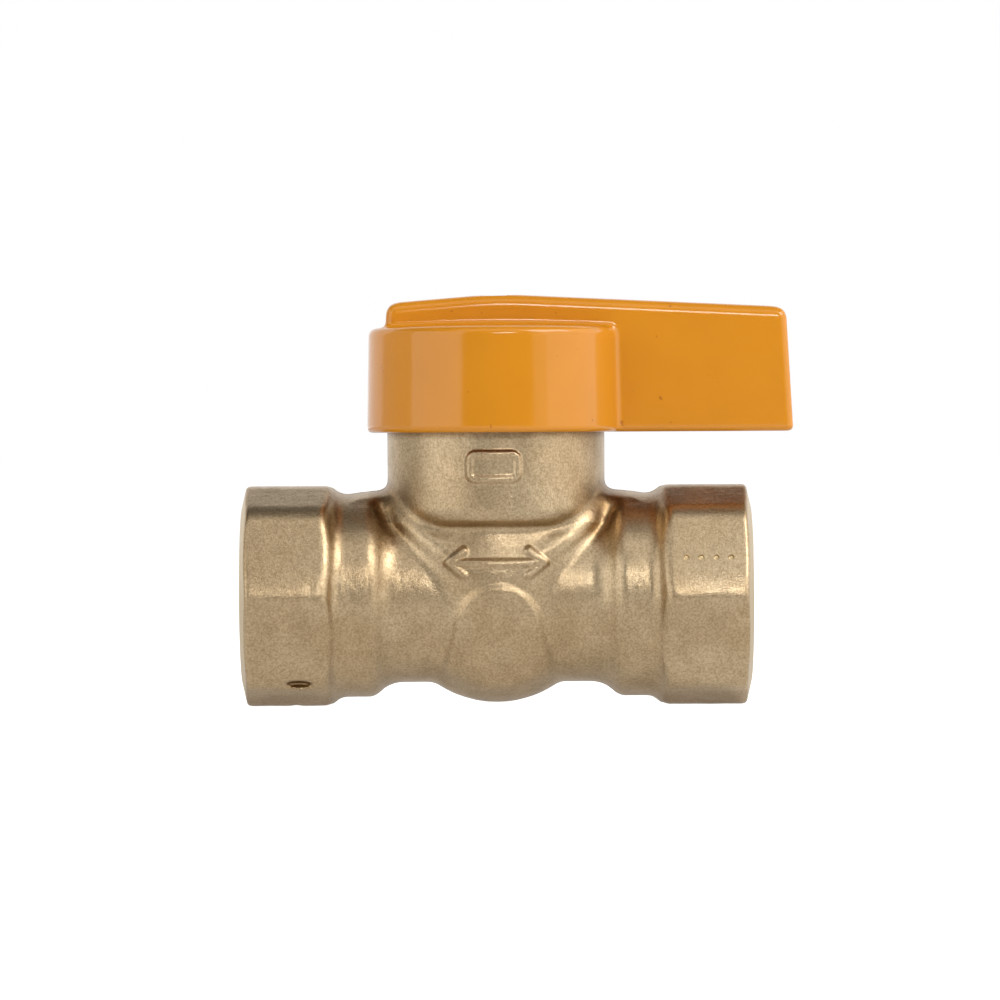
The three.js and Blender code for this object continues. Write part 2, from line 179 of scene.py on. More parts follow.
SLOT_HALF = 2.2  # drive slot on the ball
SLOT_FLOOR = 6.9
SEAT_GAP = 0.3
SEAT_LIP = 5.7
STEM_R = 3.8
STEM_FLANGE_R = 4.9
STEM_FLANGE = (9.3, 10.9)
STEM_HOLE = 4.0
RING_GROOVE = (2.6, 0.8)  # floor radius and half width
SQUARE_BOTTOM = 26.9
SQUARE_HALF = 2.8
SCREW_HOLE = 2.65
SCREW_HOLE_END = 22.4
TANG = (2.0, 4.0)
BONNET_GROOVE = (12.45, 14.35)
BONNET_GROOVE_R = 10.2
BONNET_PITCH = 1.5
SPANNER_SLOT = (1.4, 2.0)
COUNTERBORE_R = 5.3
COUNTERBORE_TOP = 12.9
STUFFING_R = 5.6
STUFFING_FLOOR = 18.5
THRUST_BORE = 4.05
GLAND_THREAD_R = 5.3
GLAND_THREAD = (1.0, 0.5)  # pitch and depth
GLAND_SEAT = 24.9
WASHER_BORE = 2.7
LOCK_GAP = 0.8
LOCK_RISE = 0.22
SCREW_R = 2.35
SCREW_THREAD = (0.8, 0.42)
SCREW_HEAD_HEIGHT = 2.2
CROSS = (2.0, 0.45, 1.4)  # reach, half width and depth of the driver recess


# ---- distance fields ----

def join(a, b, width):
    """Union of two fields, with a fillet about as wide as width."""
    h = np.maximum(width - np.abs(a - b), 0) / width
    return np.minimum(a, b) - h * h * width / 4


def cut_to(a, b, width):
    """Intersection of two fields, with a rounded edge about as wide as width."""
    return -join(-a, -b, width)


def slab(v, low, high):
    """Distance to the space between two parallel planes."""
    return np.maximum(low - v, v - high)


def rounded_box(p, q, half_p, half_q, radius):
    """Distance to a rectangle with rounded corners, in the plane of p and q."""
    dp = np.abs(p) - (half_p - radius)
    dq = np.abs(q) - (half_q - radius)
    outside = np.hypot(np.maximum(dp, 0), np.maximum(dq, 0))
    return outside + np.minimum(np.maximum(dp, dq), 0) - radius


def segment(p, q, a, b):
    """Distance from points (p, q) to the line from a to b."""
    ax, ay = a
    dx, dy = b[0] - ax, b[1] - ay
    t = np.clip(((p - ax) * dx + (q - ay) * dy) / (dx * dx + dy * dy), 0, 1)
    return np.hypot(p - ax - t * dx, q - ay - t * dy)


def octagon(y, z):
    """Distance to the octagon whose worn corners are up, down, in front and behind."""
    c, s = math.cos(math.pi / 8), math.sin(math.pi / 8)
    ay, az = np.hypot(y, LAND_EASE), np.hypot(z, EDGE_EASE)
    return cut_to(ay * c + az * s, ay * s + az * c, FACET_EASE) - CORNER * c


def ripple(x, y, z):
    """The slight unevenness of a forged skin, a few hundredths of a millimetre."""
    a = np.sin(1.31 * x + 0.7 * z) * np.sin(1.07 * z - 0.4 * y) * np.sin(0.93 * y + 0.5 * x)
    b = np.sin(2.9 * x - 1.3 * y) * np.sin(2.5 * z + 1.9 * x) * np.sin(3.1 * y + 0.8 * z)
    return 0.014 * a + 0.009 * b


def soft_step(v, width):
    """0 well below zero, 1 well above it, and smooth between."""
    t = np.clip(0.5 + v / width, 0, 1)
    return t * t * (3 - 2 * t)


def flow_arrow(x, z):
    """Double-headed arrow for the front of the chamber, as gas may flow either way."""
    d = segment(x, z, (-ARROW_REACH, ARROW_Z), (ARROW_REACH, ARROW_Z))
    tip_x = ARROW_REACH + 0.2
    for side in (-1, 1):
        tip = (side * tip_x, ARROW_Z)
        for rise in (-1, 1):
            barb = (side * (tip_x - ARROW_HEAD), ARROW_Z + rise * ARROW_HEAD * 0.8)
            d = np.minimum(d, segment(x, z, tip, barb))
    return d - ARROW_HALF_WIDTH


def relief(x, y, z):
    """Height of the raised marks on the front: a blank maker's pad and the flow arrow."""
    pad = rounded_box(x - PAD_CENTRE[0], z - PAD_CENTRE[1], *PAD_HALF, PAD_ROUNDING)
    rim = soft_step(0.40 - np.abs(pad + 0.5), 0.6)
    pad_height = PAD_RIM * rim + PAD_FACE * soft_step(-pad, 0.5)
    arrow_height = ARROW_HEIGHT * soft_step(-flow_arrow(x, z), 0.7)
    return np.where(y < -6, pad_height + arrow_height, 0.0)


def boss(x, y, z):
    """Height of the round swelling that the forging has over the ball, front and back."""
    above = z - (BOSS_TOP - BOSS_R)
    widening = 0.3 * np.minimum(above, 0)
    d = np.hypot(x - 0.2, np.maximum(above, 0)) - BOSS_R + widening
    return BOSS_HEIGHT * soft_step(-d, 1.3) * soft_step(np.abs(y) - 6.5, 4)


def parting_line(x, y):
    """What is left of the forging flash, a low ridge all round the plane of the two axes."""
    worn = np.where(np.abs(x) < OCTAGON_START + 1, 1.0, 0.4)
    return FLASH_HEIGHT * np.exp(-(y / FLASH_HALF) ** 2) * worn


def arm_field(x, y, z):
    """Collars, waists and octagonal ends, the same on both sides."""
    ax = np.abs(x)
    r = np.hypot(y, z)
    waist = cut_to(r - WAIST_R, ax - WAIST_END, 0.5)
    lead = COLLAR_LEAD[1] * (r - COLLAR_R) - COLLAR_LEAD[0] * (ax - COLLAR_START)
    collar = cut_to(cut_to(r - COLLAR_R, lead, 0.9), ax - COLLAR_END, 0.5)
    height = z - CORNER_LIFT * np.exp(-(z / CORNER_LIFT_REACH) ** 2)
    brow = np.abs(y) * math.cos(BROW) + height * math.sin(BROW) - BROW_OUT
    facets = cut_to(octagon(y, height), brow, 0.4)
    land = np.abs(z) - FLASH_LAND
    lead = OCTAGON_LEAD[1] * (r - OCTAGON_LEAD_R) - OCTAGON_LEAD[0] * (ax - OCTAGON_START)
    end = cut_to(cut_to(facets, land, 0.4), lead, 0.8)
    return join(join(waist, collar, FILLET["waist"]), end, FILLET["octagon"])


def chamfer(x, y, z):
    """The cone that the pipe ends are turned to."""
    out, along = math.sin(END_CHAMFER), math.cos(END_CHAMFER)
    return (np.abs(x) - HALF) * along + (np.hypot(y, z) - FACE_RING) * out


def shoulder_field(x, y, z):
    """The web between neck and collars, with the flat-topped bridges along its top."""
    r_pipe = np.hypot(y, z)
    lean = SHOULDER_R - SHOULDER_TAPER * np.maximum(SHOULDER_BREAK - z, 0)
    limit = np.maximum(np.hypot(x, y) - lean, -z)
    web = cut_to(r_pipe - COLLAR_R, limit, 1.3)
    bridge = np.maximum(np.abs(y) - SADDLE_HALF, np.abs(x) - SADDLE_REACH)
    bridge = cut_to(r_pipe - COLLAR_R + 0.2, np.maximum(bridge, SHOULDER_BREAK - z), 1.5)
    return join(web, bridge, FILLET["bridge"])


def dented(body, x, y, z):
    """The body with the few dents of handling."""
    dimple = np.sqrt((x - DIMPLE[0]) ** 2 + (y - DIMPLE[1]) ** 2 + (z - DIMPLE[2]) ** 2)
    body = cut_to(body, DIMPLE_R - dimple, 0.5)
    nick = np.hypot((x - NICK[0]) / 1.1, z - NICK[1])
    body = cut_to(body, NICK_R - nick, 0.3)
    gouge = sum(((v - c) / h) ** 2 for v, c, h in zip((x, y, z), GOUGE, GOUGE_HALF))
    return cut_to(body, (1 - np.sqrt(gouge)) * GOUGE_HALF[2], 0.45)


def forging(x, y, z):
    """The forged blank, before machining."""
    r_stem = np.hypot(x, y)
    squash = CHAMBER_R / CHAMBER_DEPTH
    chamber = np.sqrt(x * x + (squash * y) ** 2 + z * z) - CHAMBER_R
    throat = cut_to(r_stem - THROAT_R, slab(z, THROAT_BOTTOM, NECK_BOTTOM + 1), 0.6)
    neck = cut_to(r_stem - NECK_R, NECK_BOTTOM - z, 2.2)
    body = join(arm_field(x, y, z), chamber, FILLET["chamber"])
    body = join(body, shoulder_field(x, y, z), FILLET["shoulder"])
    body = join(body, throat, FILLET["throat"])
    body = join(body, neck, FILLET["neck"])
    body = dented(body, x, y, z)
    body = body - ripple(x, y, z) - relief(x, y, z) - boss(x, y, z) - parting_line(x, y)
    body = cut_to(body, chamfer(x, y, z), 0.5)
    return np.maximum(body, np.maximum(np.abs(x) - HALF, z - NECK_TOP) - MACHINING)


def blade_half(x):
    """Half the blade's thickness, which tapers to its tip."""
    t = np.clip(x / BLADE_TIP, 0, 1)
    return BLADE_HUB_HALF + (BLADE_TIP_HALF - BLADE_HUB_HALF) * t


def blade_top(x):
    """Height of the ridge over the cap and of the blade's top edge."""
    rise = BLADE_PEAK - 1.15 + (x + 12.9) * math.tan(BLADE_RISE)
    fall = BLADE_PEAK - 0.10 - x * math.tan(BLADE_FALL)
    return join(rise, fall, 0.5)


def handle_outside(x, y, z):
    """The cap with its blade, as if solid."""
    r = np.hypot(x, y)
    side = r - (CAP_R + (CAP_TOP_R - CAP_R) * (z - CAP_BOTTOM) / (CAP_RIM - CAP_BOTTOM))
    dome = z - (CAP_CROWN - (CAP_CROWN - CAP_RIM) * (r / CAP_TOP_R) ** 2)
    cap = cut_to(side, dome, 1.1)
    cheeks = np.abs(y) - blade_half(x)
    tip = x - (BLADE_TIP - BLADE_DRAFT * (z - CAP_BOTTOM))
    left = BLADE_LEFT - x + 0.05 * (z - CAP_RIM)
    blade = cut_to(cut_to(cheeks, cut_to(tip, left, 0.5), 1.2), z - blade_top(x), 1.7)
    return cut_to(join(cap, blade, 0.8), CAP_BOTTOM - z, 0.8)


def handle_hollow(x, y, z):
    """The space inside the cap, and the ribbed pocket under the blade."""
    skirt = cut_to(np.hypot(x, y) - CAP_INNER, z - CAP_CEILING, 1.2)
    start, end = CAP_R + 0.6, BLADE_TIP - BLADE_TIP_WALL
    pocket = np.maximum(slab(x, start, end), z - (BLADE_PEAK - BLADE_ROOF))
    pocket = cut_to(pocket, np.abs(y) - (blade_half(x) - BLADE_WALL), 0.8)
    pocket = cut_to(pocket, RIB_HALF - np.abs(x - (start + end) / 2), 0.5)
    return np.minimum(skirt, pocket)


def stop_lug(x, y, z):
    """The lug inside the cap that runs in the neck's notch."""
    off = np.abs(np.degrees(np.arctan2(y, x)) - LUG_ANGLE) - LUG_HALF_ANGLE
    lug = np.where(off < 0, -0.2, off * LUG_MM_PER_DEGREE)
    lug = np.maximum(lug, slab(np.hypot(x, y), LUG_INNER, CAP_INNER + 0.6))
    return np.maximum(lug, slab(z, NECK_NOTCH + 0.3, CAP_CEILING + 1))


def handle_field(x, y, z):
    """The die-cast handle: cap, ridge and blade outside, skirt, hub, lug and pocket inside."""
    r = np.hypot(x, y)
    body = cut_to(handle_outside(x, y, z), -handle_hollow(x, y, z), 0.6)
    hub = cut_to(r - HUB_R, slab(z, HUB_BOTTOM, CAP_CEILING + 1), 0.5)
    body = join(join(body, hub, 0.8), stop_lug(x, y, z), 0.3)
    square = np.maximum(np.abs(x), np.abs(y)) - HANDLE_SQUARE_HALF
    square = np.maximum(square, z - (CAP_CEILING - 0.4))
    hole = r - SCREW_HOLE
    recess = np.maximum(r - RECESS_R, SCREW_SEAT - z)
    return cut_to(body, -np.minimum(np.minimum(square, hole), recess), 0.35)


# ---- meshes from fields ----

def gradient(field, p, step=0.02):
    """Direction in which the field grows fastest, at each row of p."""
    g = np.empty_like(p)
    for axis in range(3):
        d = np.zeros(3)
        d[axis] = step
        g[:, axis] = field(*(p + d).T) - field(*(p - d).T)
    return g / (2 * step)


CORNERS = [(i, j, k) for i in (0, 1) for j in (0, 1) for k in (0, 1)]


def surface_net(field, low, high, step):
    """Closed quad mesh of the field's zero surface: (points in mm, quads)."""
    axes = [np.arange(low[a] - 2.37 * step, high[a] + 3 * step, step) for a in range(3)]
    grid = np.meshgrid(*[a.astype(np.float32) for a in axes], indexing="ij", sparse=True)
    f = field(*grid).astype(np.float32)
    n = [s - 1 for s in f.shape]

    def corner(values, c):
        return values[c[0]:c[0] + n[0], c[1]:c[1] + n[1], c[2]:c[2] + n[2]]

    inside = f < 0
    count = sum(corner(inside, c).astype(np.int8) for c in CORNERS)
    active = (count > 0) & (count < 8)
    cells = np.argwhere(active)
    index = np.full(active.shape, -1, np.int64)
    index[active] = np.arange(len(cells))
    total = np.zeros((len(cells), 3))
    crossings = np.zeros(len(cells))
    for c in CORNERS:
        for axis in range(3):
            if c[axis]:
                continue
            d = list(c)
            d[axis] = 1
            fa = f[tuple((cells + c).T)].astype(float)
            fb = f[tuple((cells + d).T)].astype(float)
            hit = (fa < 0) != (fb < 0)
            t = np.where(hit, fa / np.where(hit, fa - fb, 1), 0)
            at = np.tile(np.array(c, float), (len(cells), 1))
            at[:, axis] += t
            total[hit] += at[hit]
            crossings[hit] += 1
    origin = np.array([a[0] for a in axes])
    points = origin + (cells + total / crossings[:, None]) * step
    quads = []
    for axis in range(3):
        u, v = (axis + 1) % 3, (axis + 2) % 3
        lower = [slice(1, -1)] * 3
        upper = [slice(1, -1)] * 3
        upper[axis] = slice(2, None)
        starts, ends = inside[tuple(lower)], inside[tuple(upper)]
        for flip, mask in ((False, starts & ~ends), (True, ~starts & ends)):
            e = np.argwhere(mask) + 1
            ring = []
            for du, dv in ((-1, -1), (0, -1), (0, 0), (-1, 0)):
                cell = e.copy()
                cell[:, u] += du
                cell[:, v] += dv
                ring.append(index[tuple(cell.T)])
            quads.append(np.stack(ring[::-1] if flip else ring, 1))
    return points, np.concatenate(quads)


def settle(field, points, rounds=4, reach=0.12):
    """Moves each point onto the field's zero surface."""
    for _ in range(rounds):
        g = gradient(field, points)
        size = np.maximum((g * g).sum(1), 0.05)
        move = -(field(*points.T) / size)[:, None] * g
        points = points + np.clip(move, -reach, reach)
    return points


def positions(mesh):
    """The mesh's points, in metres."""
    co = np.empty(len(mesh.vertices) * 3)
    mesh.vertices.foreach_get("co", co)
    return co.reshape(-1, 3)


def place(name, data):
    """A new object in the scene."""
    obj = bpy.data.objects.new(name, data)
    bpy.context.collection.objects.link(obj)
    return obj


def add_object(name, points_mm, faces):
    mesh = bpy.data.meshes.new(name)
    points = (np.asarray(points_mm) * MM).tolist()
    mesh.from_pydata(points, [], [list(map(int, face)) for face in faces])
    mesh.validate()
    return place(name, mesh)


def field_object(name, field, low, high, step, fine=None):
    """Object on the field's zero surface; the box fine, in mm, is meshed twice as finely."""
    points, quads = surface_net(field, low, high, step)
    obj = add_object(name, settle(field, points), quads)
    if fine is None:
        return obj
    mesh = bmesh.new()
    mesh.from_mesh(obj.data)
    low, high = Vector(fine[0]) * MM, Vector(fine[1]) * MM
    edges = [e for e in mesh.edges
             if all(all(low[a] < v.co[a] < high[a] for a in range(3)) for v in e.verts)]
    bmesh.ops.subdivide_edges(mesh, edges=edges, cuts=1, use_grid_fill=True)
    mesh.to_mesh(obj.data)
    mesh.free()
    points = settle(field, positions(obj.data) / MM, 3) * MM
    obj.data.vertices.foreach_set("co", points.ravel())
    return obj


# ---- turned and threaded solids ----

def eased(outline, radius=0.15, steps=3):
    """The same closed outline with its corners rounded off, apart from those on the axis."""
    out = []
    for i, corner in enumerate(outline):
        if corner[0] < 1e-6:
            out.append(corner)
            continue
        here = np.array(corner, float)
        back = np.array(outline[i - 1], float) - here
        onward = np.array(outline[(i + 1) % len(outline)], float) - here
        back_length, onward_length = np.linalg.norm(back), np.linalg.norm(onward)
        cut = min(radius, 0.45 * back_length, 0.45 * onward_length)
        start, end = here + back / back_length * cut, here + onward / onward_length * cut
        for t in np.linspace(0, 1, steps + 1):
            out.append(tuple((1 - t) ** 2 * start + 2 * t * (1 - t) * here + t * t * end))
    return out


def ringed(outline, radius, step):
    """The same outline with points every step along the stretches at the given radius."""
    out = []
    for (r, h), (next_r, next_h) in zip(outline, outline[1:] + outline[:1]):
        out.append((r, h))
        if abs(r - radius) < 1e-6 and abs(next_r - radius) < 1e-6:
            count = int(abs(next_h - h) / step)
            out += [(radius, h + (next_h - h) * k / (count + 1)) for k in range(1, count + 1)]
    return out


def threaded(radius, low, high, pitch, depth):
    """Shape for turned(): a thread on the stretch that runs at the given radius."""
    def shape(r, h, turn):
        if abs(r - radius) > 1e-6 or not low < h < high:
            return np.full(len(turn), r)
        phase = (h / pitch - turn / (2 * math.pi)) % 1.0
        groove = np.clip(1.15 - 1.3 * np.abs(2 * phase - 1), 0, 1)
        return r - depth * groove * min(1, (h - low) / pitch, (high - h) / pitch)
    return shape


def flats(sides, across, low):
    """Shape for turned(): sides flats, across mm apart, from the height low upwards."""
    def shape(r, h, turn):
        if h < low:
            return np.full(len(turn), r)
        step = 2 * math.pi / sides
        return np.minimum(r, across / 2 / np.cos((turn + step / 2) % step - step / 2))
    return shape


def turned(name, profile, axis="Z", segments=96, shapes=()):
    """Revolves a closed (radius, distance) outline; a radius of 0 lies on the axis."""
    turn = np.linspace(0, 2 * math.pi, segments, endpoint=False)
    points, rings = [], []
    for r, h in profile:
        if r < 1e-6:
            rings.append([len(points)])
            points.append((0.0, 0.0, h))
        else:
            rings.append(list(range(len(points), len(points) + segments)))
            radii = np.full(segments, float(r))
            for shape in shapes:
                radii = np.minimum(radii, shape(r, h, turn))
            points.extend((q * math.cos(t), q * math.sin(t), h) for q, t in zip(radii, turn))
    faces = []
    for a, b in zip(rings, rings[1:] + rings[:1]):
        if len(a) == 1 and len(b) == 1:
            continue
        for i in range(segments):
            j = (i + 1) % segments
            corners = [a[i % len(a)], a[j % len(a)], b[j % len(b)], b[i % len(b)]]
            kept = [c for k, c in enumerate(corners) if c != corners[k - 1]]
            faces.append(kept)
    points = np.array(points)
    if axis == "X":
        points = points[:, [2, 0, 1]]
    return outward(add_object(name, points, faces))


def outward(obj):
    """Makes the faces of a closed mesh point out."""
    mesh = obj.data
    mesh.calc_loop_triangles()
    tris = np.empty(len(mesh.loop_triangles) * 3, np.int32)
    mesh.loop_triangles.foreach_get("vertices", tris)
    a, b, c = positions(mesh)[tris.reshape(-1, 3).T]
    if (a * np.cross(b, c)).sum() < 0:
        mesh.flip_normals()
    return obj


def thread_plug(name, side):
    """The solid that cuts a tapered pipe thread, its mouth chamfer and its run-out."""
    turns = 96
    step = THREAD_PITCH / 12
    depths = np.arange(-1.0, THREAD_DEPTH + step / 2, step)
    angles = np.linspace(0, 2 * math.pi, turns, endpoint=False)
    depth, angle = np.meshgrid(depths, angles, indexing="ij")
    phase = (depth / THREAD_PITCH - angle / (2 * math.pi)) % 1.0
    rise = np.clip(1.12 - np.abs(2 * phase - 1) * 1.24, 0, 1)
    fade = np.clip((THREAD_DEPTH - 1.2 - depth) / THREAD_FADE, 0, 1)
    radius = THREAD_MINOR - depth * THREAD_TAPER + THREAD_HEIGHT * rise * fade
    radius = np.maximum(radius, MOUTH_R - MOUTH_SLOPE * depth)
    radius = np.where(depth < 0, MOUTH_R, radius)
    x = HALF - depth
    y, z = radius * np.cos(angle), radius * np.sin(angle)
    points = np.stack([x, y, z], -1).reshape(-1, 3)
    rows = len(depths)
    faces = []
    for i in range(rows - 1):
        for j in range(turns):
            k = (j + 1) % turns
            faces.append((i * turns + j, i * turns + k, (i + 1) * turns + k, (i + 1) * turns + j))
    first, last = len(points), len(points) + 1
    points = np.vstack([points, [x[0, 0], 0, 0], [x[-1, 0], 0, 0]])
    for j in range(turns):
        k = (j + 1) % turns
        faces.append((first, k, j))
        faces.append((last, (rows - 1) * turns + j, (rows - 1) * turns + k))
    if side < 0:
        points = points * [-1, -1, 1]
    return outward(add_object(name, points, faces))


def brick(name, low, high):
    points = [[(low, high)[c[a]][a] for a in range(3)] for c in CORNERS]
    faces = [(0, 1, 3, 2), (4, 6, 7, 5), (0, 4, 5, 1), (2, 3, 7, 6), (0, 2, 6, 4), (1, 5, 7, 3)]
    return outward(add_object(name, points, faces))


def tapered_block(name, half_bottom, half_top, bottom, top):
    """A four-sided block about the stem axis whose ends have their own half widths."""
    points = []
    for (half_x, half_y), height in ((half_bottom, bottom), (half_top, top)):
        for sign_x, sign_y in ((-1, -1), (1, -1), (1, 1), (-1, 1)):
            points.append((sign_x * half_x, sign_y * half_y, height))
    faces = [(0, 3, 2, 1), (4, 5, 6, 7)]
    faces += [(i, (i + 1) % 4, 4 + (i + 1) % 4, 4 + i) for i in range(4)]
    return outward(add_object(name, points, faces))


def swept(name, section, start, end, segments, rise=0.0):
    """A (radius, height) section swept about the stem axis; its ends stand rise mm apart."""
    points, count = [], len(section)
    for k, angle in enumerate(np.linspace(start, end, segments + 1)):
        lift = rise * (k / segments - 0.5)
        points += [(r * math.cos(angle), r * math.sin(angle), h + lift) for r, h in section]
    faces = [tuple(range(count)), tuple(range(segments * count, (segments + 1) * count))[::-1]]
    for k in range(segments):
        for i in range(count):
            j = (i + 1) % count
            here, there = k * count, (k + 1) * count
            faces.append((here + i, there + i, there + j, here + j))
    return outward(add_object(name, points, faces))


def combine(target, tools, operation="DIFFERENCE"):
    """Applies one boolean for each tool, and removes the tools."""
    for tool in tools:
        step = target.modifiers.new("cut", "BOOLEAN")
        step.operation = operation
        step.solver = "MANIFOLD"
        step.object = tool
    depsgraph = bpy.context.evaluated_depsgraph_get()
    mesh = bpy.data.meshes.new_from_object(target.evaluated_get(depsgraph))
    target.modifiers.clear()
    old = target.data
    target.data = mesh
    mesh.name = target.name
    bpy.data.meshes.remove(old)
    for tool in tools:
        bpy.data.objects.remove(tool)
    return target


# ---- materials ----

def new_material(name):
    material = bpy.data.materials.new(name)
    material.use_nodes = True
    tree = material.node_tree
    return material, tree, tree.nodes["Principled BSDF"]


def noise(tree, size_mm, detail=2.0, roughness=0.5, distortion=0.0):
    """Noise whose features are about size_mm across, in the piece's own coordinates."""
    place = tree.nodes.new("ShaderNodeTexCoord")
    node = tree.nodes.new("ShaderNodeTexNoise")
    node.inputs["Scale"].default_value = 1 / (size_mm * MM)
    node.inputs["Detail"].default_value = detail
    node.inputs["Roughness"].default_value = roughness
    node.inputs["Distortion"].default_value = distortion
    tree.links.new(place.outputs["Object"], node.inputs["Vector"])
    return node.outputs["Fac"]


def stored(tree, name):
    """A value kept on the mesh's points."""
    node = tree.nodes.new("ShaderNodeAttribute")
    node.attribute_name = name
    return node.outputs["Fac"]


def remap(tree, value, *ends):
    """A value moved from one range to another; ends are both of the first, then the second."""
    node = tree.nodes.new("ShaderNodeMapRange")
    for name, end in zip(("From Min", "From Max", "To Min", "To Max"), ends):
        node.inputs[name].default_value = end
    tree.links.new(value, node.inputs["Value"])
    return node.outputs["Result"]


def ramp(tree, value, stops):
    """Colour ramp from (position, linear colour) stops."""
    node = tree.nodes.new("ShaderNodeValToRGB")
    elements = node.color_ramp.elements
    while len(elements) < len(stops):
        elements.new(0.5)
    for element, (position, colour) in zip(elements, stops):
        element.position = position
        element.color = (*colour, 1)
    tree.links.new(value, node.inputs["Fac"])
    return node.outputs["Color"]


def tinted(tree, colour, tint):
    """The colour multiplied by the tint."""
    node = tree.nodes.new("ShaderNodeMix")
    node.data_type = "RGBA"
    node.blend_type = "MULTIPLY"
    node.inputs[0].default_value = 1.0
    tree.links.new(colour, node.inputs[6])
    tree.links.new(tint, node.inputs[7])
    return node.outputs[2]


def bump(tree, shader, layers):
    """Stacks bumps given as (height, depth in mm)."""
    last = None
    for height, depth in layers:
        node = tree.nodes.new("ShaderNodeBump")
        node.inputs["Distance"].default_value = depth * MM
        tree.links.new(height, node.inputs["Height"])
        if last is not None:
            tree.links.new(last, node.inputs["Normal"])
        last = node.outputs["Normal"]
    tree.links.new(last, shader.inputs["Normal"])


def forged_brass():
    """Shot-blasted forging: dull brass, sparkling grain, and painted shade with some brown
    tarnish in the corners.
    """
    material, tree, shader = new_material("forged_brass")
    shader.inputs["Metallic"].default_value = 1.0
    grain = noise(tree, 0.28, 2.0, 0.6)
    sparkle = noise(tree, 0.16, 1.0, 0.5)
    blotch = noise(tree, 3.2, 3.0, 0.6, 0.6)
    broad = noise(tree, 11.0, 2.0, 0.5)
    tone = ramp(tree, blotch, [(0.3, (0.50, 0.38, 0.235)), (0.72, (0.60, 0.465, 0.300))])
    grit = ramp(tree, grain, [(0.34, (0.70, 0.67, 0.60)), (0.62, (1.0, 1.0, 1.0))])
    tarnish = ramp(tree, broad, [(0.35, (0.92, 0.88, 0.83)), (0.65, (1.0, 1.0, 1.0))])
    colour = tinted(tree, tinted(tree, tone, grit), tarnish)
    # painted shade in the corners, with some tarnish, from the stored attribute
    stops = [(0.07, (1.0, 1.0, 1.0)), (0.30, (0.60, 0.51, 0.40)), (0.6, (0.88, 0.81, 0.71))]
    corner_shade = ramp(tree, stored(tree, "shade_and_tarnish"), stops)
    tree.links.new(tinted(tree, colour, corner_shade), shader.inputs["Base Color"])
    tree.links.new(remap(tree, blotch, 0.3, 0.7, 0.36, 0.31), shader.inputs["Roughness"])
    bump(tree, shader, [(noise(tree, 1.2, 2.0, 0.5), 0.03), (sparkle, 0.028)])
    return material


def turned_brass(name, axis):
    """Machined brass with fine circular tool marks about the axis."""
    material, tree, shader = new_material(name)
    shader.inputs["Metallic"].default_value = 1.0
    place = tree.nodes.new("ShaderNodeTexCoord")
    wave = tree.nodes.new("ShaderNodeTexWave")
    wave.wave_type = "RINGS"
    wave.rings_direction = axis
    wave.inputs["Scale"].default_value = 1 / (0.9 * MM)
    wave.inputs["Distortion"].default_value = 0.4
    tree.links.new(place.outputs["Object"], wave.inputs["Vector"])
    stain = noise(tree, 2.4, 3.0, 0.6)
    colour = ramp(tree, stain, [(0.3, (0.52, 0.39, 0.21)), (0.7, (0.58, 0.44, 0.25))])
    tree.links.new(colour, shader.inputs["Base Color"])
    tree.links.new(remap(tree, stain, 0.3, 0.7, 0.30, 0.42), shader.inputs["Roughness"])
    bump(tree, shader, [(wave.outputs["Fac"], 0.004), (noise(tree, 0.3), 0.006)])
    return material


def orange_paint():
    """Thick glossy orange enamel: faint orange peel, slight shade changes and small dust pits."""
    material, tree, shader = new_material("orange_paint")
    shade = noise(tree, 9.0, 2.0, 0.5)
    fleck = noise(tree, 1.0, 1.0, 0.4)
    base = ramp(tree, shade, [(0.35, (0.600, 0.224, 0.008)), (0.65, (0.630, 0.236, 0.009))])
    spots = ramp(tree, fleck, [(0.20, (0.72, 0.62, 0.55)), (0.24, (1.0, 1.0, 1.0))])
    tree.links.new(tinted(tree, base, spots), shader.inputs["Base Color"])
    shader.inputs["Roughness"].default_value = 0.13
    bump(tree, shader, [(noise(tree, 1.6, 2.0, 0.5), 0.012), (noise(tree, 0.35), 0.0025)])
    return material


def plain_finish(name, metallic, shade, colours, roughness, grain):
    """A finish of two close shades; shade and grain are noises, grain as a bump, depth last."""
    material, tree, shader = new_material(name)
    shader.inputs["Metallic"].default_value = metallic
    shade = noise(tree, *shade)
    colour = ramp(tree, shade, list(zip((0.3, 0.7), colours)))
    tree.links.new(colour, shader.inputs["Base Color"])
    low, high = roughness
    if low == high:
        shader.inputs["Roughness"].default_value = low
    else:
        tree.links.new(remap(tree, shade, 0.3, 0.7, low, high), shader.inputs["Roughness"])
    size, depth = grain
    bump(tree, shader, [(noise(tree, size), depth)])
    return material


def polished_chrome():
    shades = (0.70, 0.71, 0.73), (0.80, 0.81, 0.83)
    return plain_finish("polished_chrome", 1.0, (2.0,), shades, (0.06, 0.12), (0.4, 0.001))


def plated_steel():
    shades = (0.46, 0.47, 0.50), (0.62, 0.63, 0.65)
    return plain_finish("plated_steel", 1.0, (0.9, 3.0, 0.6), shades, (0.24, 0.38), (0.2, 0.004))


def seat_plastic():
    shades = (0.80, 0.80, 0.76), (0.88, 0.88, 0.85)
    return plain_finish("seat_plastic", 0.0, (1.2,), shades, (0.42, 0.42), (0.25, 0.004))


def seal_rubber():
    shades = (0.012, 0.012, 0.013), (0.024, 0.024, 0.025)
    return plain_finish("seal_rubber", 0.0, (0.5,), shades, (0.6, 0.6), (0.12, 0.006))


MATERIALS = {
    "forged_brass": forged_brass(),
    "turned_pipe": turned_brass("turned_brass_pipe", "X"),
    "turned_stem": turned_brass("turned_brass_stem", "Z"),
    "chromed_brass": polished_chrome(),
    "ptfe": seat_plastic(),
    "nitrile": seal_rubber(),
    "orange_paint": orange_paint(),
    "zinc_plate": plated_steel(),
}


# ---- the pieces ----

def face_centres(mesh):
    """The middle of each face, in mm."""
    centres = np.empty(len(mesh.polygons) * 3)
    mesh.polygons.foreach_get("center", centres)
    return centres.reshape(-1, 3) / MM


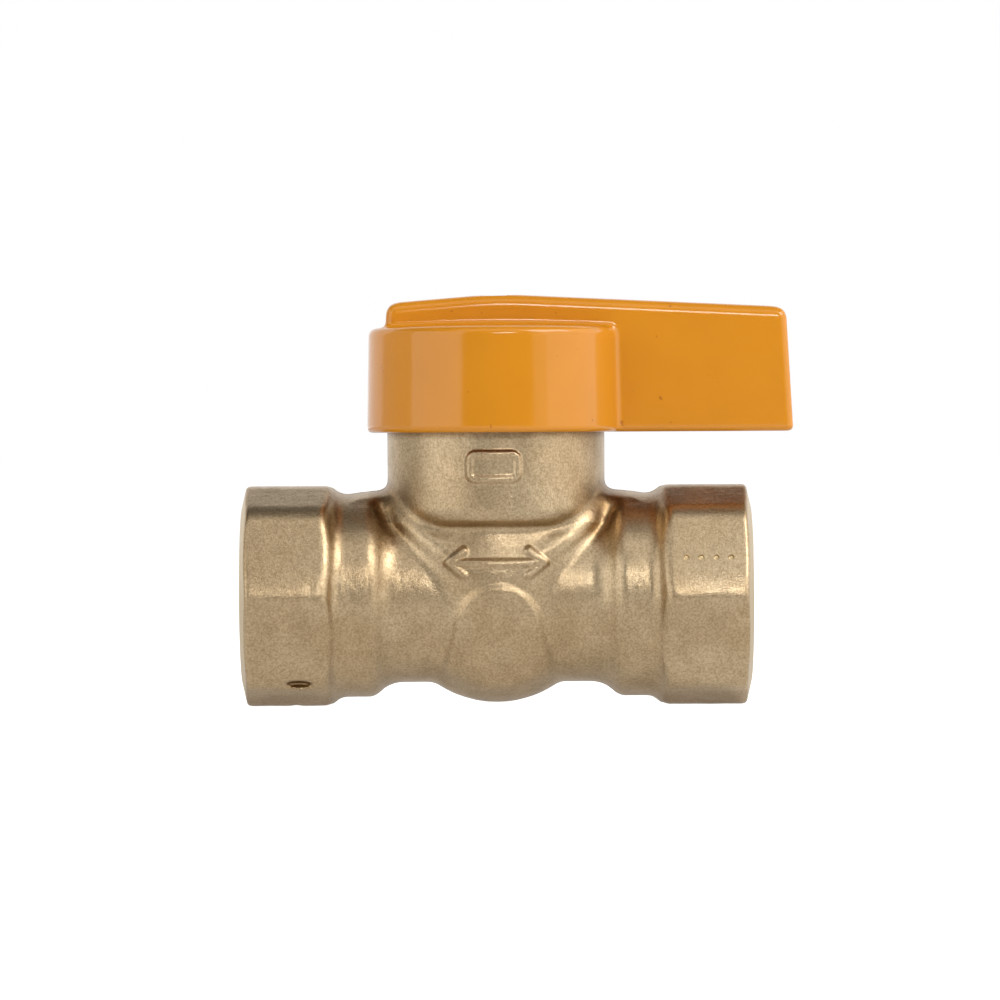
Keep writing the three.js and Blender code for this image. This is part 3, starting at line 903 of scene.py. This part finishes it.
def normals_of(field, points):
    """Unit vectors straight out of the field's surface."""
    g = gradient(field, points, 0.03)
    return g / np.maximum(np.linalg.norm(g, axis=1, keepdims=True), 1e-9)


def smooth(mesh, crease):
    """Smooth shading, with edges left sharp where they turn by more than crease degrees."""
    mesh.polygons.foreach_set("use_smooth", np.ones(len(mesh.polygons), bool))
    mesh.set_sharp_from_angle(angle=math.radians(crease))


def shade_by_field(mesh, field, on_field=None):
    """Smooth shading whose normals follow the field where the faces lie on it."""
    smooth(mesh, 28)
    loop_vertex = np.empty(len(mesh.loops), np.int32)
    mesh.loops.foreach_get("vertex_index", loop_vertex)
    normals = normals_of(field, positions(mesh) / MM)[loop_vertex]
    if on_field is not None:
        sizes = np.empty(len(mesh.polygons), np.int32)
        mesh.polygons.foreach_get("loop_total", sizes)
        normals[~np.repeat(on_field, sizes)] = 0
    mesh.normals_split_custom_set(normals.tolist())


def paint_shade_and_tarnish(mesh, field):
    """Stores painted shade, with some tarnish, as a point attribute for the brass's colour: how
    closed-in each point is, 0 in the open and 1 in a sharp corner, plus painted shadow under the
    handle and painted shade along the ends' undersides.
    """
    points = positions(mesh) / MM
    out = normals_of(field, points)
    closed = np.zeros(len(points))
    for distance, weight in SHADE_PROBES:
        open_space = field(*(points + out * distance).T) / distance
        closed += weight * (1 - np.clip(open_space, 0, 1))
    along, height = np.abs(points[:, 0]), points[:, 2]
    closed *= 0.3 + 0.7 * soft_step(height - 5, 8)  # painted shade weaker towards the bottom
    closed *= 0.2 + 0.8 * soft_step(along - 11.5, 4)  # and weaker in the middle
    closed += 0.3 * soft_step(height - CAP_BOTTOM + 0.6, 1.6)  # painted shadow under the handle
    floor_shade = soft_step(-12.4 - height, 1.6) * soft_step(along - 21.0, 2)
    closed += 0.16 * floor_shade  # and painted shade along the ends' undersides
    layer = mesh.attributes.new("shade_and_tarnish", "FLOAT", "POINT")
    layer.data.foreach_set("value", closed.astype(np.float32))


def plug(r, low, high):
    """Outline of a plain cylinder, for turned()."""
    return [(0, low), (r, low), (r, high), (0, high)]


def machining_tools():
    """Cutters for everything that is machined on the forging."""
    tools = []
    facing = plug(FACING_R, HALF, HALF + 2)
    near, far = SEAT_BACK - 0.5, SEAT_BACK + 1.5
    low_r, high_r = SEAT_GROOVE
    groove = [(low_r, near), (high_r, near), (high_r, far), (low_r, far)]
    for side in (-1, 1):
        tag = "left" if side < 0 else "right"
        tools.append(turned(f"facing_{tag}", [(r, side * x) for r, x in facing], "X", 160))
        tools.append(thread_plug(f"thread_{tag}", side))
        tools.append(turned(f"groove_{tag}", [(r, side * x) for r, x in groove], "X"))
    inner = HALF - THREAD_DEPTH + 0.5
    arc = np.radians(np.linspace(-90, 0, 17))
    bowl = [(POCKET_R * math.cos(a), POCKET_R * math.sin(a)) for a in arc]
    bowl += [(POCKET_R, POCKET_TOP + 1), (0, POCKET_TOP + 1)]
    half, side = SEAT_BACK + 0.2, SEAT_SPACE_R
    top = NECK_TOP + 2
    bore = [(0, POCKET_TOP), (NECK_BORE, POCKET_TOP), (NECK_BORE, NECK_TOP - 0.6),
            (NECK_BORE + 0.6, NECK_TOP), (NECK_BORE + 0.6, top), (0, top)]
    return tools + [
        turned("passage", plug(BORE_R, -inner, inner), "X"),
        turned("pocket", bowl),
        turned("seat_space", plug(side, -half, half), "X"),
        brick("seat_drop", (-half, -side, 0), (half, side, POCKET_TOP + 1)),
        turned("neck_bore", bore),
        turned("neck_trim", plug(TRIM_R, NECK_TOP, top), "Z", 48),
    ]


def stop_notch():
    """The cutter for the notch in the neck's rim that the handle's lug runs in."""
    low, high = NECK_NOTCH, NECK_TOP + 2
    inner, outer = NECK_BORE - 4, NECK_R + 4
    section = [(inner, low), (outer, low), (outer, high), (inner, high)]
    return swept("notch", section, *np.radians(NOTCH_ANGLES), 39)


def stamped_dots():
    """A row of small punched dots on the right-hand octagon, where a date would be."""
    tools = []
    tilt = math.pi / 8
    apothem = CORNER * math.cos(tilt)
    y = -apothem * math.cos(tilt) - DOT_DROP * math.sin(tilt)
    z = apothem * math.sin(tilt) - DOT_DROP * math.cos(tilt)
    for i in range(4):
        dot = turned(f"dot_{i}", [(0, -0.30), (0.28, -0.24), (0.52, 0.3), (0, 0.3)], "Z", 24)
        dot.rotation_euler = (math.pi / 2 - tilt, 0, 0)
        dot.location = Vector((DOT_FIRST + DOT_PITCH * i, y, z)) * MM
        tools.append(dot)
    bpy.context.view_layer.update()
    return tools


def valve_body():
    """The forging, meshed from its field, then bored, faced and threaded."""
    low = (-HALF - MACHINING, BODY_LOW[1], BODY_LOW[2])
    high = (HALF + MACHINING, BODY_HIGH[1], BODY_HIGH[2] + MACHINING)
    marks = ((-8.5, -16, 1.5), (8.5, -8, 20))
    body = field_object("valve_body_skin", forging, low, high, 0.34, marks)
    combine(body, machining_tools() + [stop_notch()] + stamped_dots())
    mesh = body.data
    mesh.materials.clear()
    mesh.materials.append(MATERIALS["forged_brass"])
    mesh.materials.append(MATERIALS["turned_pipe"])
    centres = face_centres(mesh)
    on_field = np.abs(forging(*centres.T)) < 0.035
    turned_faces = ~on_field | (np.abs(chamfer(*centres.T)) < 0.02)
    mesh.polygons.foreach_set("material_index", turned_faces.astype(np.int32))
    shade_by_field(mesh, forging, on_field)
    paint_shade_and_tarnish(mesh, forging)
    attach(body, "valve")
    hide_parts("valve_body")


def handle():
    body = field_object("handle_casting", handle_field, CAP_LOW, CAP_HIGH, 0.3)
    body.data.materials.append(MATERIALS["orange_paint"])
    shade_by_field(body.data, handle_field)
    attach(body, "handle")
    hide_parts("handle")


SLOTS = {part["node"]: part["material_slot"] for part in frame["record"]["subparts"]}
BODIES = {node: body for body, nodes in frame["record"]["behaviour"]["bodies"].items()
          for node in nodes}
FINISHES = {
    "machined_brass": "turned_stem",
    "chromed_brass": "chromed_brass",
    "ptfe": "ptfe",
    "nitrile": "nitrile",
    "zinc_plate": "zinc_plate",
}


def stands_for(piece, node):
    """Shades a finished piece and puts it in the place of its CAD node."""
    mesh = piece.data
    mesh.materials.clear()
    mesh.materials.append(MATERIALS[FINISHES[SLOTS[node]]])
    smooth(mesh, 32)
    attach(piece, BODIES[node])
    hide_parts(node)


def upright(node):
    """Outer radius, bottom and top of a CAD node that is turned about the stem axis."""
    low, high = box_mm(node)
    return high[1], low[2], high[2]


def circle(ring, tube, centre, count=20):
    """Section of a torus, as (radius, distance) points."""
    turn = np.linspace(0, 2 * math.pi, count, endpoint=False)
    return [(ring + tube * math.cos(t), centre + tube * math.sin(t)) for t in turn]


def ball():
    """Chromed ball with its bore and the slot that the stem's key turns it by."""
    edge = math.acos(BORE_R / BALL_R)
    arc = [(BALL_R * math.cos(a), BALL_R * math.sin(a)) for a in np.linspace(-edge, edge, 61)]
    body = turned("ball_polished", eased(arc, 0.2), "X", 128)
    past = BALL_R + 1
    combine(body, [brick("slot", (-SLOT_HALF, -past, SLOT_FLOOR), (SLOT_HALF, past, past))])
    stands_for(body, "ball")


def seat(side, tag):
    """Seat ring, with a lip that follows the ball."""
    low, high = box_mm("seat_right")
    face_r = BALL_R + SEAT_GAP
    radii = np.linspace(SEAT_LIP, math.sqrt(face_r ** 2 - low[0] ** 2), 9)
    lip = [(r, math.sqrt(face_r ** 2 - r ** 2)) for r in radii]
    outline = eased([(SEAT_LIP, high[0])] + lip + [(high[1], low[0]), (high[1], high[0])], 0.12)
    body = turned(f"seat_{tag}_turned", [(r, side * x) for r, x in outline], "X")
    stands_for(body, f"seat_{tag}")


def seat_seal(side, tag):
    low, high = box_mm("seat_o_ring_right")
    tube = (high[0] - low[0]) / 2
    section = circle(high[1] - tube, tube, side * (low[0] + high[0]) / 2)
    stands_for(turned(f"seat_o_ring_{tag}_moulded", section, "X"), f"seat_o_ring_{tag}")


def upright_seal(node):
    outer, bottom, top = upright(node)
    tube = (top - bottom) / 2
    stands_for(turned(f"{node}_moulded", circle(outer - tube, tube, bottom + tube)), node)


def bonnet():
    """Screwed plug that closes the neck: outside thread, seal groove, bores and spanner slot."""
    outer, bottom, top = upright("bonnet")
    outline = [
        (COUNTERBORE_R, bottom), (outer, bottom),
        (outer, BONNET_GROOVE[0]), (BONNET_GROOVE_R, BONNET_GROOVE[0]),
        (BONNET_GROOVE_R, BONNET_GROOVE[1]), (outer, BONNET_GROOVE[1]),
        (outer, top - 0.5), (outer - 0.5, top), (STUFFING_R + 0.3, top), (STUFFING_R, top - 0.3),
        (STUFFING_R, STUFFING_FLOOR), (STEM_HOLE, STUFFING_FLOOR),
        (STEM_HOLE, COUNTERBORE_TOP), (COUNTERBORE_R, COUNTERBORE_TOP),
    ]
    outline = ringed(eased(outline, 0.12), outer, BONNET_PITCH / 10)
    thread = threaded(outer, BONNET_GROOVE[1] + 0.6, top - 0.4, BONNET_PITCH, 0.55)
    body = turned("bonnet_threaded", outline, "Z", 120, [thread])
    half, depth = SPANNER_SLOT
    combine(body, [brick("slot", (-outer - 1, -half, top - depth), (outer + 1, half, top + 1))])
    stands_for(body, "bonnet")


def stem():
    """Blow-out proof stem: key, flange, two seal grooves, square and tapped hole."""
    _, bottom, top = upright("stem")
    outline = [(0, STEM_FLANGE[0]), (STEM_FLANGE_R, STEM_FLANGE[0]),
               (STEM_FLANGE_R, STEM_FLANGE[1]), (STEM_R, STEM_FLANGE[1])]
    for ring in ("stem_o_ring_lower", "stem_o_ring_upper"):
        _, low, high = upright(ring)
        floor_r, half = RING_GROOVE
        middle = (low + high) / 2
        outline += [(STEM_R, middle - half), (floor_r, middle - half),
                    (floor_r, middle + half), (STEM_R, middle + half)]
    outline += [(STEM_R, SQUARE_BOTTOM - 0.02), (STEM_R, SQUARE_BOTTOM), (STEM_R, top - 0.4),
                (STEM_R - 0.4, top), (SCREW_HOLE, top), (SCREW_HOLE, SCREW_HOLE_END),
                (0, SCREW_HOLE_END - 0.9)]
    square = flats(4, 2 * SQUARE_HALF, SQUARE_BOTTOM)
    body = turned("stem_turned", eased(outline, 0.1), "Z", 120, [square])
    half_x, half_y = TANG
    shoulder = bottom + 0.2
    tang = tapered_block("tang", (half_x - 0.2, half_y - 0.2), TANG, bottom, shoulder)
    shank = tapered_block("shank", TANG, TANG, shoulder, STEM_FLANGE[0] + 0.5)
    combine(body, [combine(shank, [tang], "UNION")], "UNION")
    stands_for(body, "stem")


def flat_ring(node, bore, name, notches=0):
    """A flat ring about the stem axis; notches are the joints between stacked packing rings."""
    outer, bottom, top = upright(node)
    outline = [(bore, bottom), (outer, bottom)]
    for k in range(1, notches + 1):
        height = bottom + (top - bottom) * k / (notches + 1)
        outline += [(outer, height - 0.12), (outer - 0.15, height), (outer, height + 0.12)]
    outline += [(outer, top), (bore, top)]
    stands_for(turned(name, eased(outline, 0.1)), node)


def gland_nut():
    """Hexagon nut that presses the packing down round the stem."""
    corner, bottom, top = upright("gland_nut")
    bore = STEM_HOLE
    fall = [(corner - 0.9 * t, top - 0.45 + 0.45 * t) for t in np.linspace(0, 1, 8)]
    outline = [
        (bore, bottom), (GLAND_THREAD_R - 0.4, bottom), (GLAND_THREAD_R, bottom + 0.4),
        (GLAND_THREAD_R, GLAND_SEAT), (corner - 0.25, GLAND_SEAT), (corner, GLAND_SEAT + 0.2),
    ]
    outline += fall + [(bore + 0.4, top), (bore, top - 0.4)]
    outline = ringed(eased(outline, 0.08), GLAND_THREAD_R, 0.1)
    thread = threaded(GLAND_THREAD_R, bottom, GLAND_SEAT, *GLAND_THREAD)
    hexagon = flats(6, 2 * corner * math.cos(math.pi / 6), GLAND_SEAT)
    stands_for(turned("gland_nut_threaded", outline, "Z", 144, [thread, hexagon]), "gland_nut")


def lock_washer():
    """A ring split towards +X, its ends sprung apart."""
    outer, bottom, top = upright("lock_washer")
    section = [(WASHER_BORE, bottom), (outer, bottom), (outer, top), (WASHER_BORE, top)]
    start = math.asin(LOCK_GAP / (WASHER_BORE + outer))
    ends = (start, 2 * math.pi - start)
    ring = swept("lock_washer_sprung", eased(section, 0.08), *ends, 72, LOCK_RISE)
    stands_for(ring, "lock_washer")


def handle_screw():
    """Pan-head screw with a cross recess."""
    head, bottom, top = upright("handle_screw")
    under = top - SCREW_HEAD_HEIGHT
    dome = [(head * math.cos(a) ** 0.7, top - 1.0 + 1.0 * math.sin(a))
            for a in np.linspace(0.15, math.pi / 2 - 0.12, 10)]
    outline = [(0, bottom), (SCREW_R - 0.5, bottom), (SCREW_R, bottom + 0.5), (SCREW_R, under),
               (head - 0.15, under), (head, under + 0.15), (head, top - 1.0)] + dome + [(0, top)]
    outline = ringed(eased(outline, 0.06), SCREW_R, 0.08)
    thread = threaded(SCREW_R, bottom, under - 2, *SCREW_THREAD)
    body = turned("handle_screw_threaded", outline, "Z", 96, [thread])
    reach, half, depth = CROSS
    wide = ((0.5 * reach, 0.8 * half), (reach, half))
    across = tapered_block("across", *wide, top - depth, top + 0.3)
    along = tapered_block("along", *[pair[::-1] for pair in wide], top - depth - 0.02, top + 0.32)
    combine(body, [across, along])
    stands_for(body, "handle_screw")


valve_body()
handle()
ball()
for side, tag in ((-1, "left"), (1, "right")):
    seat(side, tag)
    seat_seal(side, tag)
bonnet()
stem()
for node in ("bonnet_o_ring", "stem_o_ring_lower", "stem_o_ring_upper"):
    upright_seal(node)
flat_ring("thrust_washer", THRUST_BORE, "thrust_washer_turned")
flat_ring("stem_packing", STEM_HOLE, "stem_packing_rings", 2)
flat_ring("plain_washer", WASHER_BORE, "plain_washer_pressed")
gland_nut()
lock_washer()
handle_screw()


# ---- stage, lights and camera ----

SUBJECT = Vector((0.5, 0, 12.3)) * MM
CAMERA_DISTANCE = 740 * MM
CAMERA_ELEVATION = math.radians(0.7)
CAMERA_ROLL = math.radians(-0.3)
VIEW_WIDTH = 130 * MM


def floor():
    """White to the camera, a soft glow to the valve, and clear from underneath."""
    mesh = bpy.data.meshes.new("floor")
    reach = 6.0
    height = BODY_LOW[2] * MM - 0.0002
    corners = ((-1, -1), (1, -1), (1, 1), (-1, 1))
    mesh.from_pydata([(x * reach, y * reach, height) for x, y in corners], [], [(0, 1, 2, 3)])
    obj = place("floor", mesh)
    material, tree, shader = new_material("pale_floor")
    shader.inputs["Base Color"].default_value = (0.5, 0.5, 0.5, 1)
    shader.inputs["Roughness"].default_value = 0.9
    shader.inputs["Specular IOR Level"].default_value = 0.0
    shader.inputs["Emission Color"].default_value = (1, 1, 1, 1)
    path = tree.nodes.new("ShaderNodeLightPath")
    glow = remap(tree, path.outputs["Is Camera Ray"], 0, 1, 0.40, 1.0)
    tree.links.new(glow, shader.inputs["Emission Strength"])
    side = tree.nodes.new("ShaderNodeNewGeometry")
    clear = tree.nodes.new("ShaderNodeBsdfTransparent")
    one_sided = tree.nodes.new("ShaderNodeMixShader")
    tree.links.new(side.outputs["Backfacing"], one_sided.inputs[0])
    tree.links.new(shader.outputs[0], one_sided.inputs[1])
    tree.links.new(clear.outputs[0], one_sided.inputs[2])
    tree.links.new(one_sided.outputs[0], tree.nodes["Material Output"].inputs["Surface"])
    mesh.materials.append(material)


SOFTBOXES = (  # azimuth and elevation in degrees, distance, width and height in metres, watts
    ("key_left", -55, 8, 0.60, 0.56, 0.7, 1.72),
    ("key_left_outer", -100, 8, 0.60, 0.485, 0.7, 0.46),
    ("key_right", 83, 16, 0.60, 0.87, 0.9, 3.3),
    ("key_right_inner", 41, 16, 0.60, 0.16, 0.9, 0.33),
    ("right_high", 58, 42, 0.80, 0.5, 0.3, 2.4),
    ("backdrop_light", 180, 15, 0.90, 2.88, 1.2, 9.8),
    ("front_top", 8, 22, 0.80, 0.25, 0.10, 1.05),
    ("front_high", 0, 58, 0.80, 0.9, 0.42, 1.1),
)


def softbox(name, azimuth, elevation, distance, width, height, power):
    """An area light aimed at the valve. Azimuth is measured from the camera's side towards +X."""
    lamp = bpy.data.lights.new(name, "AREA")
    lamp.shape = "RECTANGLE"
    lamp.size, lamp.size_y = width, height
    lamp.energy = power
    obj = place(name, lamp)
    a, e = math.radians(azimuth), math.radians(elevation)
    aim = Vector((math.sin(a) * math.cos(e), -math.cos(a) * math.cos(e), math.sin(e)))
    obj.location = SUBJECT + aim * distance
    obj.rotation_euler = aim.to_track_quat("Z", "Y").to_euler()
    obj.visible_camera = False


def sky():
    """White to the camera, grey as a light, so that the set looks the same from every side."""
    world = bpy.data.worlds.new("studio")
    bpy.context.scene.world = world
    world.use_nodes = True
    tree = world.node_tree
    tree.nodes.clear()
    out = tree.nodes.new("ShaderNodeOutputWorld")
    path = tree.nodes.new("ShaderNodeLightPath")
    blend = tree.nodes.new("ShaderNodeMixShader")
    tree.links.new(path.outputs["Is Camera Ray"], blend.inputs[0])
    for socket, strength in ((1, 0.16), (2, 1.0)):
        glow = tree.nodes.new("ShaderNodeBackground")
        glow.inputs["Color"].default_value = (1, 1, 1, 1)
        glow.inputs["Strength"].default_value = strength
        tree.links.new(glow.outputs[0], blend.inputs[socket])
    tree.links.new(blend.outputs[0], out.inputs[0])


def camera():
    data = bpy.data.cameras.new("camera")
    data.lens = data.sensor_width * CAMERA_DISTANCE / VIEW_WIDTH
    obj = place("camera", data)
    back = Vector((0, -math.cos(CAMERA_ELEVATION), math.sin(CAMERA_ELEVATION)))
    obj.location = SUBJECT + back * CAMERA_DISTANCE
    turn = back.to_track_quat("Z", "Y") @ Quaternion((0, 0, 1), CAMERA_ROLL)
    obj.rotation_euler = turn.to_euler()
    data.clip_start, data.clip_end = 0.01, 50
    bpy.context.scene.camera = obj


floor()
sky()
for box in SOFTBOXES:
    softbox(*box)
camera()
bpy.context.scene.view_settings.view_transform = "Standard"
